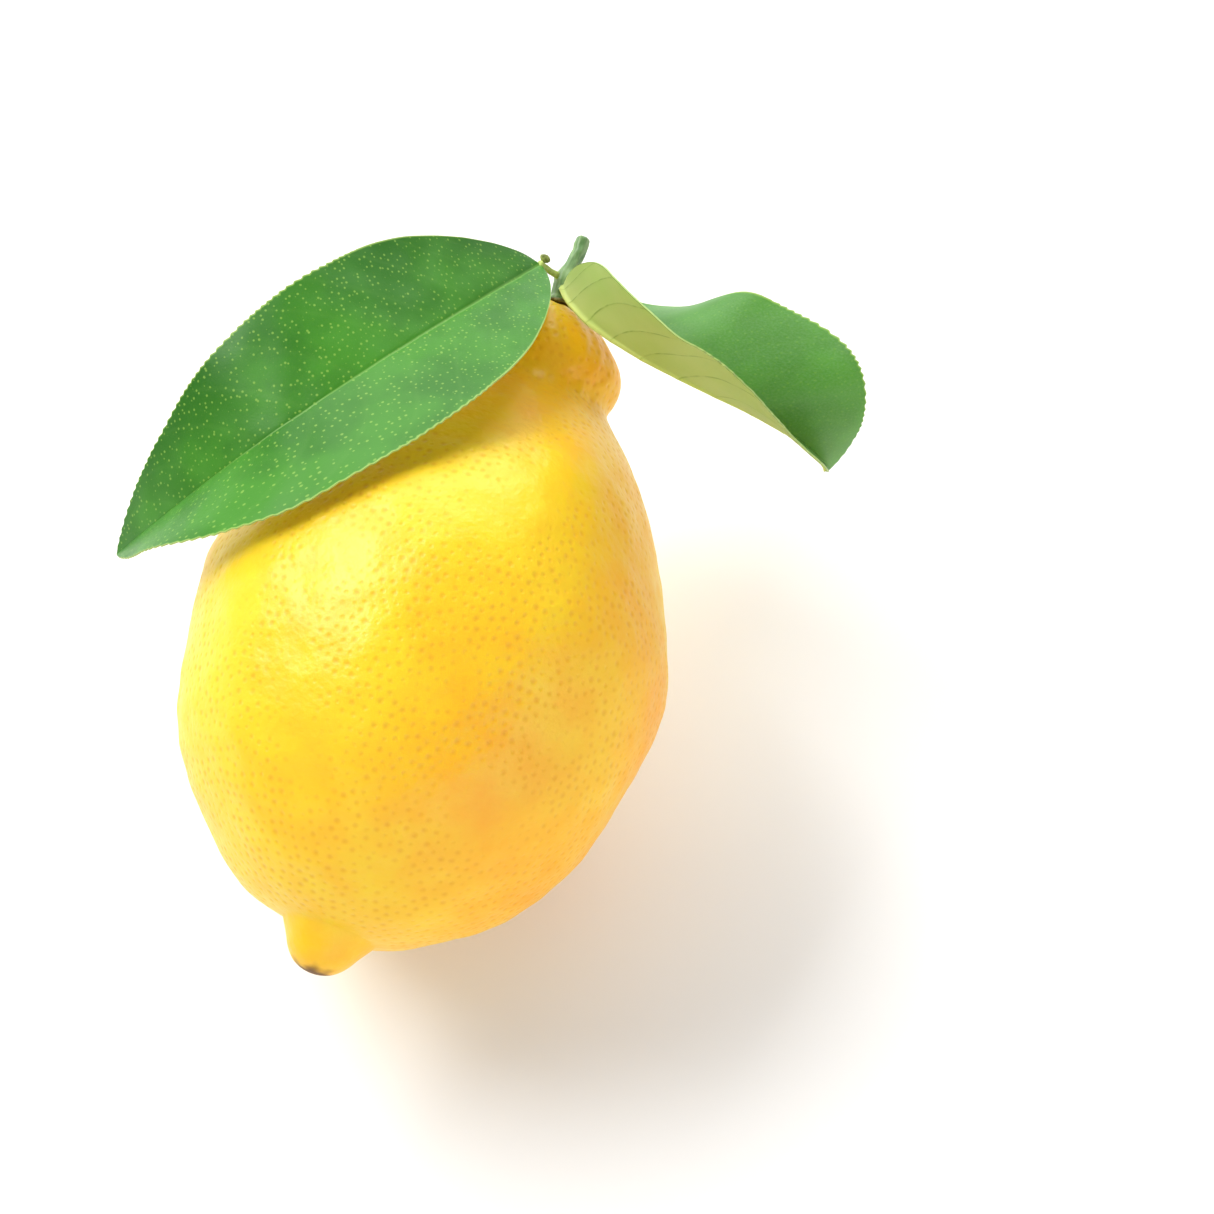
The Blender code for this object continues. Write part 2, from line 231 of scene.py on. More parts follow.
def unevenness(points, along, angle):
    """Height over the smooth skin: wide lumps, finer ripples, and folds that fan out from the stem end."""
    bent = angle + WRINKLE_WANDER * wavy(points, 0.018, seed=3)
    folds = -WRINKLE_DEPTH * (1 - np.cos(NECK_WRINKLES * bent)) / 2
    reach = ease(WRINKLES_FROM, WRINKLES_FULL, along)
    lumps = LUMP_HEIGHT * wavy(points, LUMP_SIZE, seed=1)
    lumps = lumps + RIPPLE_HEIGHT * wavy(points, RIPPLE_SIZE, seed=2)
    return folds * reach + lumps * ease(0, SMOOTH_TIP, along) * (1 - 0.4 * reach)


def skin_normal(along, angle):
    """Outward direction: the cross product of small steps around and along the smooth skin."""
    step = 1e-6
    turn = step / FRUIT_RADIUS
    around = smooth_skin(along, angle + turn) - smooth_skin(along, angle - turn)
    onward = smooth_skin(along + step, angle) - smooth_skin(along - step, angle)
    return unit(np.cross(onward, around))


def even_places(count):
    """Places along the axis, without the two tips, that divide the profile's own length evenly."""
    along = FRUIT_LENGTH * (1 - np.cos(np.linspace(0, np.pi, 4001))) / 2
    steps = np.hypot(np.diff(along), np.diff(peel_radius(along)))
    length = np.concatenate([[0], np.cumsum(steps)])
    return np.interp(np.linspace(0, length[-1], count + 2)[1:-1], length, along)


# %% Where the fruit lies
fruit_low, fruit_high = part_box("fruit")


def tilted(points):
    """(x, along, rise) turned by the axis tilt, before it is moved to its place."""
    x, along, rise = points[..., 0], points[..., 1], points[..., 2]
    y = along * math.cos(AXIS_TILT) - rise * math.sin(AXIS_TILT)
    z = along * math.sin(AXIS_TILT) + rise * math.cos(AXIS_TILT)
    return np.stack([x, y, z], axis=-1)


def find_place():
    """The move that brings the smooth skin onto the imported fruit: its box's middle in Y, its top in Z."""
    along, angle = np.meshgrid(even_places(200), np.linspace(0, 2 * np.pi, 181), indexing="ij")
    skin = tilted(smooth_skin(along, angle)).reshape(-1, 3)
    middle = (skin[:, 1].min() + skin[:, 1].max()) / 2
    return np.array([0, (fruit_low.y + fruit_high.y) / 2 - middle, fruit_high.z - skin[:, 2].max()])


PLACE = find_place()


def to_world(points):
    """(x, along, rise) in the fruit's frame to world."""
    return tilted(points) + PLACE


print(f"the nipple's tip is at y = {1000 * to_world(np.zeros(3))[1]:.1f} mm")

# %% [markdown]
# ## Pores
#
# The rind's dots are oil glands: small pits about 1.5 mm apart, evenly crowded but in no rows. Random
# points would clump, and a cell texture would ignore the curve of the fruit. So the points start in
# jittered rings, and then each is pushed away from its nearest neighbour a few times.

# %% Scatter the pores over the skin
PORE_SPACING = 0.00155
BARE_TIP = 0.0065
PUSH_ROUNDS = 4


def nearest(points, places, skip_self=False):
    """For each point the number of the nearest place; blocks keep the table of distances small."""
    found = np.empty(len(points), int)
    squares = (places**2).sum(axis=1)
    block = 4000
    for start in range(0, len(points), block):
        part = points[start : start + block]
        distance = squares - 2 * part @ places.T
        if skip_self:
            rows = np.arange(len(part))
            distance[rows, start + rows] = np.inf
        found[start : start + block] = distance.argmin(axis=1)
    return found


def scatter_pores():
    """(along, angle) of each pore: jittered rings, then pushed apart; the nipple's tip is left bare."""
    dice = np.random.default_rng(7)
    profile_length = np.hypot(np.diff(even_places(500)), np.diff(peel_radius(even_places(500)))).sum()
    rings = even_places(int(profile_length / PORE_SPACING))
    counts = np.maximum(3, np.round(2 * np.pi * peel_radius(rings) / PORE_SPACING)).astype(int)
    ring = np.repeat(np.arange(len(rings)), counts)
    place_in_ring = np.arange(counts.sum()) - np.repeat(np.cumsum(counts) - counts, counts)
    jitter = dice.uniform(-0.45, 0.45, (2, len(ring)))
    angle = 2 * np.pi * (place_in_ring + jitter[0] + 0.5 * (ring % 2)) / counts[ring]
    along = np.interp(ring + jitter[1], np.arange(len(rings)), rings)
    for _ in range(PUSH_ROUNDS):
        places = smooth_skin(along, angle)
        away = places - places[nearest(places, places, skip_self=True)]
        gap = np.linalg.norm(away, axis=1, keepdims=True)
        moved = places + away / gap * np.clip(PORE_SPACING - gap, 0, None) / 2
        along = np.clip(moved[:, 1], rings[0], rings[-1])
        angle = np.arctan2(moved[:, 2], moved[:, 0] - axis_sidestep(along))
    return along[along > BARE_TIP], angle[along > BARE_TIP]


pore_along, pore_angle = scatter_pores()
pores = smooth_skin(pore_along, pore_angle)
print(f"{len(pores)} pores")

# %% [markdown]
# ## From arrays to meshes
#
# Every round piece here is a skin: rings of points with a pole at each end. One helper turns such a grid
# into a closed mesh, and it checks by the enclosed volume that the faces point outward. Numbers that a
# material needs, such as where the nearest pore is, go into the mesh as attributes.

# %% Mesh helpers
def put_in_scene(name, points, faces):
    """A mesh object of the given name, smooth-shaded, at the origin."""
    mesh = bpy.data.meshes.new(name)
    mesh.from_pydata(points.tolist(), [], faces)
    mesh.shade_smooth()
    piece = bpy.data.objects.new(name, mesh)
    bpy.context.scene.collection.objects.link(piece)
    return piece


def enclosed_volume(points, quads):
    """Signed volume by summing the tetrahedra from the origin to each half of each quad."""
    a, b, c, d = (points[quads[:, k]] for k in range(4))
    return (a * (np.cross(b, c) + np.cross(c, d))).sum() / 6


def closed_skin(name, rings, first, last):
    """A closed mesh from rings of points (ring, around, xyz) and a pole beyond each end."""
    count, around = rings.shape[:2]
    points = np.concatenate([rings.reshape(-1, 3), [first], [last]])
    number = np.arange(count * around).reshape(count, around)
    onward = np.roll(number, -1, axis=1)
    quads = np.stack([number[:-1], number[1:], onward[1:], onward[:-1]], axis=-1).reshape(-1, 4)
    first_fan = np.stack([number[0], onward[0], np.full(around, count * around)], axis=-1)
    last_fan = np.stack([onward[-1], number[-1], np.full(around, count * around + 1)], axis=-1)
    if enclosed_volume(points - points.mean(axis=0), quads) < 0:
        quads, first_fan, last_fan = quads[:, ::-1], first_fan[:, ::-1], last_fan[:, ::-1]
    piece = put_in_scene(name, points, quads.tolist() + first_fan.tolist() + last_fan.tolist())
    print(f"{name}: {len(points)} points, {2 * len(quads) + 2 * around} triangles")
    return piece


def give_attribute(piece, name, kind, domain, values):
    """Stores one number or one vector for each point or face."""
    attribute = piece.data.attributes.new(name, kind, domain)
    field = "vector" if kind == "FLOAT_VECTOR" else "value"
    attribute.data.foreach_set(field, np.asarray(values, np.float32).ravel())


# %% [markdown]
# ## The fruit
#
# The peel grows as one piece, so it is one closed skin. Its points are spread evenly over the profile's
# length, and each is moved along the outward direction by the unevenness and by the pit of its nearest
# pore. What would dip under the surface it lies on is lifted to it, which makes the small flat spot.

# %% Build the fruit
FRUIT_RINGS = 258
FRUIT_AROUND = 372
PIT_DEPTH = 0.00005
PIT_RADIUS = 0.00048
SCAR_RADIUS = 0.0038
STEM_END = np.array([axis_sidestep(FRUIT_LENGTH), FRUIT_LENGTH, 0.0])


def fine_skin(along, angle):
    """The finished skin in the fruit's frame: smooth skin, unevenness and pits."""
    base = smooth_skin(along, angle)
    flat = base.reshape(-1, 3)
    gap = np.linalg.norm(flat - pores[nearest(flat, pores)], axis=1).reshape(along.shape)
    pit = PIT_DEPTH * np.exp(-((gap / PIT_RADIUS) ** 2))
    height = unevenness(base, along, angle) - pit
    return base + skin_normal(along, angle) * height[..., None]


def rest_on_floor(points):
    """Lifts to the floor what would lie under it."""
    lifted = points.copy()
    lifted[..., 2] = np.maximum(lifted[..., 2], 0)
    return lifted


def turn_in_steps(count):
    """A whole turn in equal steps, without repeating the first angle."""
    return np.linspace(0, 2 * np.pi, count, endpoint=False)


def build_fruit():
    """A grid of places along the axis and angles about it, each moved to the finished skin."""
    along, angle = np.meshgrid(even_places(FRUIT_RINGS), turn_in_steps(FRUIT_AROUND), indexing="ij")
    rings = rest_on_floor(to_world(fine_skin(along, angle)))
    nipple_tip = to_world(np.array([NIPPLE_SIDESTEP, 0.0002, 0]))
    return closed_skin("lemon_peel", rings, nipple_tip, to_world(STEM_END))


def read_places(parts, field):
    """The places of all points or faces of a mesh, one row each."""
    places = np.empty(3 * len(parts), np.float32)
    parts.foreach_get(field, places)
    return places.reshape(-1, 3).astype(float)


def ripeness_and_painted_light(points):
    """0 is lemon yellow, 1 is orange yellow: warmer at the neck by ripening and by painted shade and warm
    bounce light, warmer on the +X side as painted warm bounce light, and in soft patches of real tone.
    """
    along = (points[:, 1] - PLACE[1]) / math.cos(AXIS_TILT)
    # painted light: the warmer neck is partly ripening and partly painted shade and warm bounce light
    neck = ease(FRUIT_LENGTH - 0.036, FRUIT_LENGTH - 0.010, along)
    # painted light: the warmer +X side is painted warm bounce light
    side = ease(-0.012, 0.034, points[:, 0] - 0.25 * points[:, 1])
    patches = 0.16 * wavy(points, 0.030, seed=11) + 0.05 * wavy(points, 0.008, seed=12)
    return np.clip(0.08 + 0.46 * neck + 0.66 * side + patches, 0, 1)


def scar_share(points):
    """1 on the brown scar at the nipple's tip, where the flower's style fell off, with a ragged rim."""
    tip = to_world(np.array([NIPPLE_SIDESTEP, 0.0, -0.0006]))
    distance = np.linalg.norm(points - tip, axis=1)
    ragged = SCAR_RADIUS * (1 + 0.12 * wavy(points, 0.0022, seed=14))
    return 1 - ease(0.45, 1.0, distance / ragged)


fruit = build_fruit()
pore_places = to_world(pores)
face_pores = pore_places[nearest(read_places(fruit.data.polygons, "center"), pore_places)]
fruit_points = read_places(fruit.data.vertices, "co")
give_attribute(fruit, "pore", "FLOAT_VECTOR", "FACE", face_pores)
# this share holds real ripeness and also painted shade and warm bounce light
give_attribute(fruit, "ripe_and_painted_light", "FLOAT", "POINT", ripeness_and_painted_light(fruit_points))
give_attribute(fruit, "scar", "FLOAT", "POINT", scar_share(fruit_points))

# %% [markdown]
# ## Writing materials
#
# A finish is a tree of nodes. Written out one by one, the nodes hide the idea, so a few helpers make a
# node and link it in one line. A pattern reads Object coordinates, a UV map of the piece or an attribute,
# and none of them depends on where the camera stands.

# %% Node helpers
def add_node(tree, kind, inputs, **settings):
    """Makes a node, sets its settings, and sets or links its inputs by name or number."""
    made = tree.nodes.new(kind)
    for name, value in settings.items():
        setattr(made, name, value)
    for name, value in inputs.items():
        if isinstance(value, bpy.types.NodeSocket):
            tree.links.new(value, made.inputs[name])
        else:
            made.inputs[name].default_value = value
    return made


def calculate(tree, operation, first, second=0.0):
    """One step of arithmetic on two numbers or sockets."""
    return add_node(tree, "ShaderNodeMath", {0: first, 1: second}, operation=operation).outputs[0]


def times(tree, first, second):
    """first * second"""
    return calculate(tree, "MULTIPLY", first, second)


def plus(tree, first, second):
    """first + second"""
    return calculate(tree, "ADD", first, second)


def minus(tree, first, second):
    """first - second"""
    return calculate(tree, "SUBTRACT", first, second)


def remap(tree, value, low, high, new_low=0.0, new_high=1.0):
    """low becomes new_low and high becomes new_high, with a smooth step between."""
    names = ("Value", "From Min", "From Max", "To Min", "To Max")
    inputs = dict(zip(names, (value, low, high, new_low, new_high)))
    made = add_node(tree, "ShaderNodeMapRange", inputs, interpolation_type="SMOOTHSTEP")
    return made.outputs["Result"]


def blend_colours(tree, share, first, second):
    """The first colour at share 0 and the second at share 1."""
    paints = [(*one, 1) if isinstance(one, tuple) else one for one in (first, second)]
    inputs = {0: share, 6: paints[0], 7: paints[1]}
    return add_node(tree, "ShaderNodeMix", inputs, data_type="RGBA").outputs[2]


def noise(tree, place, scale, detail=3.0):
    """A soft random pattern about 0.5, with features about 1 / scale wide."""
    inputs = {"Vector": place, "Scale": scale, "Detail": detail}
    return add_node(tree, "ShaderNodeTexNoise", inputs).outputs["Fac"]


def start_material(name, roughness, **sockets):
    """A material with its Principled shader, whose constant sockets are given by name."""
    material = bpy.data.materials.new(name)
    material.use_nodes = True
    tree = material.node_tree
    shader = tree.nodes["Principled BSDF"]
    shader.inputs["Roughness"].default_value = roughness
    for socket, value in sockets.items():
        shader.inputs[socket.replace("_", " ")].default_value = value
    return material, tree, shader


def object_place(tree):
    """The shaded spot's place in the piece's own metres."""
    return tree.nodes.new("ShaderNodeTexCoord").outputs["Object"]


def attribute(tree, name, output="Fac"):
    """Reads a number or a vector that was stored in the mesh."""
    return add_node(tree, "ShaderNodeAttribute", {}, attribute_name=name).outputs[output]


def bump(tree, shader, height, strength, distance):
    """Links a height to the shader's normal."""
    inputs = {"Height": height, "Strength": strength, "Distance": distance}
    made = add_node(tree, "ShaderNodeBump", inputs)
    tree.links.new(made.outputs["Normal"], shader.inputs["Normal"])


def paint(tree, shader, colour, rough=None):
    """Links a colour, and a roughness if there is one, to the shader."""
    tree.links.new(colour, shader.inputs["Base Color"])
    if rough is not None:
        tree.links.new(rough, shader.inputs["Roughness"])


# %% [markdown]
# ## The peel's finish
#
# Lemon rind is a thin waxy skin over oily, glowing tissue: a satin gloss, a deep yellow that goes orange
# towards the neck, partly by ripening and partly as painted shade and warm bounce light, and on one side,
# where warm bounce light is painted, and a darker orange dot at the bottom of every pit. A cell texture
# could draw dots, but they would not sit in the modelled pits. Each face knows the place of its nearest
# pore, so the distance from the shaded spot to that place draws the dot exactly where the pit is.

# %% Peel material
LEMON_YELLOW = (0.86, 0.60, 0.014)
# this orange serves ripening and also the painted shade and warm bounce light
ORANGE_YELLOW = (0.88, 0.39, 0.002)
PORE_ORANGE = (0.66, 0.25, 0.002)
SCAR_BROWN = (0.15, 0.065, 0.008)
PORE_HALF_WIDTHS = (0.00042, 0.00066)
PORE_STRENGTHS = (0.19, 0.40)
MOTTLE_SCALE = 260.0
GRAIN_SCALE = 1000.0
PEEL_BUMP = 0.00014


def peel_material():
    """Two yellows mixed by ripeness and by painted shade and warm bounce light, a dot for each pore, the
    scar, and a grain that breaks the gloss.
    """
    material, tree, shader = start_material(
        "waxy_peel", 0.42, Subsurface_Weight=0.25, Subsurface_Scale=0.0035,
        Subsurface_Radius=(1.0, 0.45, 0.08), Specular_IOR_Level=0.38, Coat_Weight=0.12, Coat_Roughness=0.36
    )
    place = object_place(tree)
    pore = attribute(tree, "pore", "Vector")
    gap = add_node(tree, "ShaderNodeVectorMath", {0: place, 1: pore}, operation="DISTANCE").outputs["Value"]
    chance = add_node(tree, "ShaderNodeTexWhiteNoise", {"Vector": pore}).outputs["Value"]
    half_width = remap(tree, chance, 0, 1, *PORE_HALF_WIDTHS)
    dot = remap(tree, calculate(tree, "DIVIDE", gap, half_width), 0.0, 1.0, 1.0, 0.0)
    mottle = noise(tree, place, MOTTLE_SCALE)
    # ripeness with painted shade and warm bounce light, plus a real random mottle
    ripe_and_painted_light = plus(tree, attribute(tree, "ripe_and_painted_light"), remap(tree, mottle, 0.3, 0.7, -0.10, 0.10))
    skin = blend_colours(tree, ripe_and_painted_light, LEMON_YELLOW, ORANGE_YELLOW)
    dot_share = times(tree, dot, remap(tree, chance, 0, 1, *PORE_STRENGTHS))
    dotted = blend_colours(tree, dot_share, skin, PORE_ORANGE)
    scar = attribute(tree, "scar")
    rough = plus(tree, remap(tree, mottle, 0.3, 0.7, 0.37, 0.47), times(tree, dot, 0.15))
    rough = plus(tree, rough, times(tree, scar, 0.3))
    paint(tree, shader, blend_colours(tree, scar, dotted, SCAR_BROWN), rough)
    grain = times(tree, noise(tree, place, GRAIN_SCALE, 2.0), 1.1)
    bump(tree, shader, minus(tree, grain, times(tree, dot, 0.7)), 0.8, PEEL_BUMP)
    return material


fruit.data.materials.append(peel_material())

# %% [markdown]
# ## Calyx, stem, petioles and bud
#
# The calyx is the dry five-lobed star that held the flower. The stem is a green twig, thicker where the
# leaves grow from it, and cut off cleanly at its end. Each petiole joins the stem to a leaf, and a small
# scaly bud sits by the left one. All are rods or buttons, so each is a closed skin of rings about a line.
# Lathe and curve tools make such shapes too, but rings can swell, groove and twist in one formula.

# %% Lines that the small pieces follow
STEM_FOOT = CALYX_THICKNESS + 2 * JOIN_GAP


def from_stem_end(points):
    """(x, beyond the stem end, rise) to the fruit's frame."""
    return np.asarray(points, float) + (0.0, FRUIT_LENGTH, 0.0)


def soft_steps(value, knots, results):
    """The straight lines from knot to knot, averaged over a short span so that no corner is left."""
    span = np.linspace(-0.16, 0.16, 9)
    return np.mean([np.interp(value + shift, knots, results) for shift in span], axis=0)


def stem_point(beyond):
    """The stem's middle at a distance beyond the stem end, in the fruit's frame."""
    beyond = np.asarray(beyond, float)
    shares, sideways, upwards = np.array(STEM_BENDS).T
    share = (beyond - STEM_FOOT) / STEM_LENGTH
    x = STEM_END[0] + soft_steps(share, shares, sideways)
    return np.stack([x, FRUIT_LENGTH + beyond, soft_steps(share, shares, upwards)], axis=-1)


def wrap_line(name, line, across, seed):
    """A closed skin of rings about a line; across holds each point's way from the line, made 3% uneven."""
    rings = line[:, None] + across
    rings = rings + across * 0.03 * wavy(rings, 0.0016, seed=seed)[..., None]
    return closed_skin(name, to_world(rings), to_world(line[0]), to_world(line[-1]))


def rod(name, line, radii, around, groove, ridges):
    """Rings about a line: circles across the line's run, with shallow ridges that twist slowly."""
    run = unit(np.gradient(line, axis=0))
    side = unit(np.cross(run, np.array([0.0, 0.0, 1.0])))
    up = np.cross(side, run)
    angle = turn_in_steps(around)
    twist = np.linspace(0, 0.8, len(line))[:, None]
    radius = radii[:, None] * (1 + groove * np.cos(ridges * (angle + twist)))
    circle = np.cos(angle)[:, None] * side[:, None] + np.sin(angle)[:, None] * up[:, None]
    return wrap_line(name, line, radius[..., None] * circle, seed=21)


# %% Build the calyx
CALYX_RINGS, CALYX_AROUND = 40, 160
KEEL_HEIGHT = 0.00025
CALYX_ROUGHNESS = 0.00006


def end_drop(distance):
    """How far the neck's rounded end has fallen away at a distance from its middle."""
    inside = 1 - np.clip(distance / NECK_RADIUS, 0, 1) ** 2
    return NECK_HALF_LENGTH * (1 - inside ** (1 / NECK_FULLNESS))


def build_calyx():
    """A flattened ball that follows the neck's end: its rim reaches out in five lobes with keels."""
    from_top = np.linspace(0, np.pi, CALYX_RINGS + 2)[1:-1]
    polar, angle = np.meshgrid(from_top, turn_in_steps(CALYX_AROUND), indexing="ij")
    lobe = np.abs(np.cos(CALYX_LOBES * angle / 2))
    reach = CALYX_RADIUS - LOBE_DEPTH + 2 * LOBE_DEPTH * lobe**0.8
    distance = reach * np.sin(polar)
    keel = KEEL_HEIGHT * lobe**3 * np.sin(polar) * (np.cos(polar) > 0)
    height = JOIN_GAP / 3 + CALYX_THICKNESS * (1 + np.cos(polar)) / 2 - end_drop(distance) + keel
    x, rise = STEM_END[0] + distance * np.cos(angle), distance * np.sin(angle)
    rings = np.stack([x, FRUIT_LENGTH + height, rise], axis=-1)
    rings[..., 1] += CALYX_ROUGHNESS * wavy(rings, 0.0012, seed=22)
    top = STEM_END + (0, JOIN_GAP / 3 + CALYX_THICKNESS, 0)
    bottom = STEM_END + (0, JOIN_GAP / 3, 0)
    return closed_skin("star_calyx", to_world(rings), to_world(top), to_world(bottom))


calyx = build_calyx()

# %% Build the stem
STEM_RINGS, CUT_RINGS, STEM_AROUND = 120, 8, 64
FOOT_FLARE, FOOT_LENGTH = 0.00035, 0.0010
KNUCKLE_HEIGHT, KNUCKLE_LENGTH = 0.00010, 0.0006
RIM_LENGTH, RIM_ROUNDING = 0.0004, 0.0006
BARK_RIDGES, BARK_RIDGE_SHARE = 6, 0.035


def stem_rings():
    """(line, radii): a flared foot, a node where the leaves grow, a slimmer twig, a round-rimmed cut."""
    last = STEM_FOOT + STEM_LENGTH
    beyond = np.linspace(CALYX_THICKNESS, last, STEM_RINGS)
    thinning = ease(LEFT_PETIOLE_AT, LEFT_PETIOLE_AT + STEM_TAPER, beyond)
    flare = FOOT_FLARE * (1 - ease(CALYX_THICKNESS, CALYX_THICKNESS + FOOT_LENGTH, beyond))
    knuckle = KNUCKLE_HEIGHT * np.exp(-(((beyond - LEFT_PETIOLE_AT) / KNUCKLE_LENGTH) ** 2))
    radii = STEM_NODE_RADIUS + (STEM_RADIUS - STEM_NODE_RADIUS) * thinning + flare + knuckle
    past_rim = np.clip(beyond - last + RIM_LENGTH, 0, None) / RIM_ROUNDING
    radii = radii * np.sqrt(np.clip(1 - past_rim**2, 0, 1))
    line = stem_point(beyond)
    cut_line = np.repeat(line[-1:], CUT_RINGS, axis=0)
    cut_radii = radii[-1] * np.linspace(0.92, 0.10, CUT_RINGS)
    return np.concatenate([line, cut_line]), np.concatenate([radii, cut_radii])


def build_stem():
    """Ridged rings in planes across the fruit's axis, so that the last ones can close a flat cut."""
    line, radii = stem_rings()
    angle = turn_in_steps(STEM_AROUND)
    radius = radii[:, None] * (1 + BARK_RIDGE_SHARE * np.cos(BARK_RIDGES * angle + 0.6))
    flat = np.zeros_like(radius)
    across = np.stack([radius * np.cos(angle), flat, radius * np.sin(angle)], axis=-1)
    return wrap_line("green_stem", line, across, seed=23)


stem = build_stem()


# %% Build the petioles and the bud
PETIOLE_SAG = 0.00015
PETIOLE_SWELLING = 0.35
PETIOLE_INTO_LEAF = 0.0004
PETIOLE_BEFORE_LEAF = 0.0007
SCALE_STEP, SCALE_TURNS = 0.10, 2.5


def petiole_line(beyond, leaf):
    """(start, end, direction) of the way from inside the stem's skin to the leaf's base."""
    middle = stem_point(beyond)
    leaf_base = from_stem_end(leaf["midrib"][0])
    run = unit(leaf_base - middle)
    return middle + run * STEM_NODE_RADIUS * 0.6, leaf_base + run * PETIOLE_INTO_LEAF, run


def build_petiole(name, beyond, leaf):
    """A slightly arched rod, thicker at both ends."""
    start, end, _ = petiole_line(beyond, leaf)
    share = np.linspace(0, 1, 40)
    line = start + (end - start) * share[:, None]
    line[:, 2] -= PETIOLE_SAG * np.sin(np.pi * share)
    swelling = 1 + PETIOLE_SWELLING * (2 * share - 1) ** 4
    round_ends = np.sqrt(np.clip(1 - np.abs(2 * share - 1) ** 24, 0.02, 1))
    return rod(name, line, PETIOLE_RADIUS * swelling * round_ends, 36, groove=0.04, ridges=4)


def build_bud():
    """An egg whose radius steps in and out along a spiral, like overlapping scales."""
    run = petiole_line(LEFT_PETIOLE_AT, LEFT_LEAF)[2]
    outwards = unit(np.array([0.0, 1.0, 0.0]) - run * run[1])
    foot = from_stem_end(LEFT_LEAF["midrib"][0]) - run * PETIOLE_BEFORE_LEAF
    middle = foot + run * BUD_ADVANCE + outwards * (PETIOLE_RADIUS + JOIN_GAP / 2 + BUD_RADIUS)
    share = np.linspace(-1, 1, 42)[1:-1]
    line = middle - run * BUD_RADIUS * BUD_STRETCH * share[:, None]
    scales = 1 + SCALE_STEP * np.mod(share * SCALE_TURNS, 1)
    return rod("scaly_bud", line, BUD_RADIUS * np.sqrt(1 - share**2) * scales, 30, groove=0.10, ridges=3)


left_petiole = build_petiole("left_leaf_petiole", LEFT_PETIOLE_AT, LEFT_LEAF)
right_petiole = build_petiole("right_leaf_petiole", RIGHT_PETIOLE_AT, RIGHT_LEAF)
bud = build_bud()

# %% [markdown]
# ## Finishes of the small pieces
#
# Young bark is green with paler lengthwise streaks and a faint bloom; the calyx is dry and brown, and the
# bud is a dull olive. One short function makes them all from two colours: a noise that is stretched along
# the stem mixes them, roughens the skin and raises it a little. Separate trees would only repeat it.

# %% Materials of the small pieces
STREAK_SCALE, PATCH_SCALE = 1400.0, 350.0
SMALL_FINISHES = (
    # its pieces, name, dark colour, light colour, roughness, scale along the stem, bump height
    ((calyx,), "dry_calyx", (0.07, 0.06, 0.012), (0.24, 0.20, 0.05), 0.62, 1.0, 0.0001),
    ((stem,), "green_bark", (0.09, 0.20, 0.06), (0.24, 0.38, 0.15), 0.42, 0.12, 0.00005),
    ((left_petiole, right_petiole), "petiole_green",
     (0.20, 0.30, 0.03), (0.42, 0.52, 0.10), 0.42, 0.3, 0.00004),
    ((bud,), "bud_olive", (0.12, 0.15, 0.02), (0.34, 0.40, 0.09), 0.6, 1.0, 0.00008),
)


def streaky_material(name, dark, light, roughness, stretch, height):
    """Two colours mixed by a noise whose scale along the stem is lower, so that it runs in streaks."""
    material, tree, shader = start_material(name, roughness)
    place = object_place(tree)
    drawn_out = add_node(tree, "ShaderNodeMapping", {"Vector": place, "Scale": (1.0, stretch, 1.0)})
    streak = noise(tree, drawn_out.outputs["Vector"], STREAK_SCALE)
    share = remap(tree, plus(tree, streak, noise(tree, place, PATCH_SCALE)), 0.75, 1.25)
    rough = remap(tree, streak, 0.3, 0.7, roughness - 0.08, roughness + 0.10)
    paint(tree, shader, blend_colours(tree, share, dark, light), rough)
    bump(tree, shader, streak, 0.6, height)
    return material


for wearers, *values in SMALL_FINISHES:
    finish = streaky_material(*values)
    for wearer in wearers:
        wearer.data.materials.append(finish)

# %% [markdown]
# ## The leaves
#
# A lemon leaf is a leathery lens: a midrib, some ten pairs of faint side veins, small blunt teeth on the
# outer two thirds of its margin, and a thin pale rim. The left one arches over the fruit; the right one
# is folded along its midrib, so its near half stands up and shows its light underside. A cloth simulation
# could drape a sheet, but a leaf holds its own shape, so the blade is a formula: the midrib is one curve,
# and each half of the blade runs from it in a direction that turns slowly from base to tip.

# %% The blade as a formula
def along_handles(handles, share):
    """The point at a share of a curve with four handles."""
    rest = 1 - share
    weights = np.stack([rest**3, 3 * rest**2 * share, 3 * rest * share**2, share**3], axis=-1)
    return weights @ np.asarray(handles, float)


def midrib_steps(handles):
    """The lengths of 400 short steps along the midrib."""
    steps = np.diff(along_handles(handles, np.linspace(0, 1, 401)), axis=0)
    return np.linalg.norm(steps, axis=1)


def even_shares(handles, wanted):
    """The curve's shares at which its length is divided as wanted."""
    length = np.concatenate([[0], np.cumsum(midrib_steps(handles))])
    return np.interp(wanted * length[-1], length, np.linspace(0, 1, 401))


def blade_direction(directions, share):
    """The unit direction of one half of the blade, eased from station to station."""
    base, middle, tip = unit(np.array(directions))
    first = ease(STATIONS[0], STATIONS[1], share)[..., None]
    second = ease(STATIONS[1], STATIONS[2], share)[..., None]
    return unit(base + (middle - base) * first + (tip - middle) * second)


def blade_half_width(leaf, share):
    """half_width * sin(pi * share^p)^fullness, where p puts the widest place at widest_at."""
    power = math.log(0.5) / math.log(leaf["widest_at"])
    return leaf["half_width"] * np.sin(np.pi * np.clip(share, 0, 1) ** power).clip(0) ** LEAF_FULLNESS


def soft_floor(value, least):
    """The value, lifted smoothly where it would come under least."""
    return (value + least + np.sqrt((value - least) ** 2 + (2 * CLEARANCE_SOFTNESS) ** 2)) / 2


